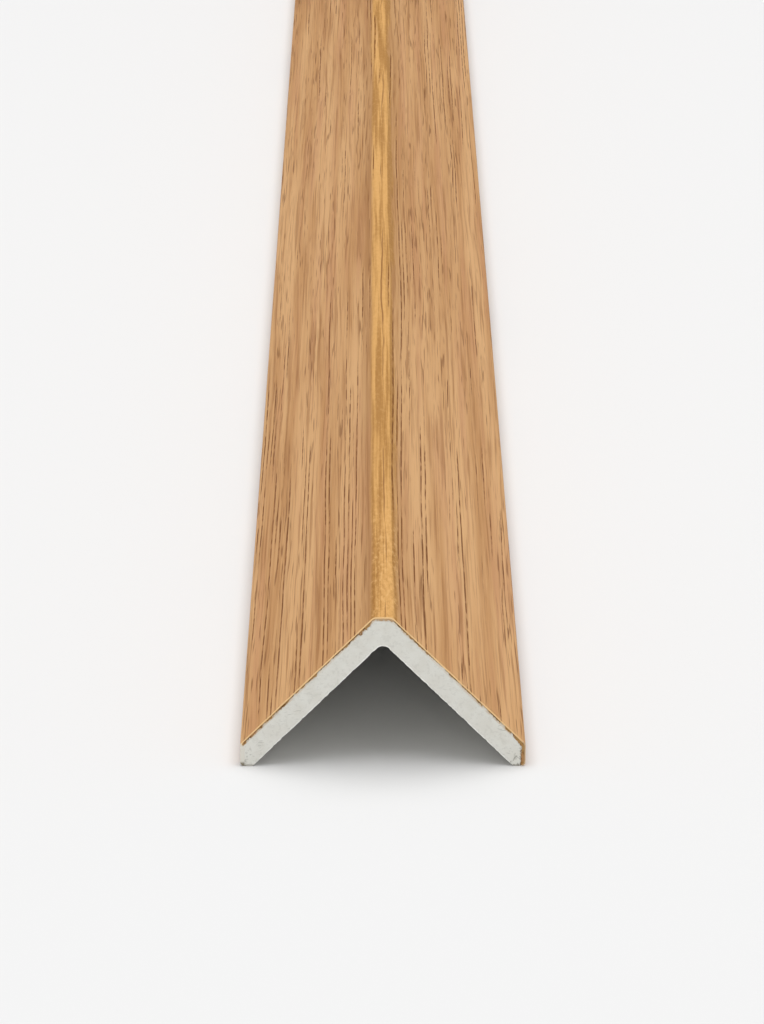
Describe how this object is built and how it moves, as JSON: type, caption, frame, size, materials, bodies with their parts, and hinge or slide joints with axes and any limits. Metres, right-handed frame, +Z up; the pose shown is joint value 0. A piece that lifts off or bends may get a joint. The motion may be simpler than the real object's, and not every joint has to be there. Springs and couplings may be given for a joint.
{
  "type": "l-shaped corner trim",
  "caption": "Straight L-shaped corner trim: an extruded pale plastic angle of two equal legs, wrapped on the outside in a thin wood-grain layer, sawn square at the ends.",
  "frame": {"origin": "on the floor, under the middle of the ridge: the centre of the box's bottom face", "axes": "X across the tent, +Y along the stock from the pictured end, +Z up through the ridge"},
  "size_m": [0.0262, 1, 0.0144],
  "materials": {
    "core": "sawn ends, smooth extruded inside faces",
    "woodgrain": "oak-like wood grain with embossed pores, satin"
  },
  "bodies": {
    "root": {"core_profile": "core", "woodgrain_wrap": "woodgrain"}
  },
  "joints": []
}
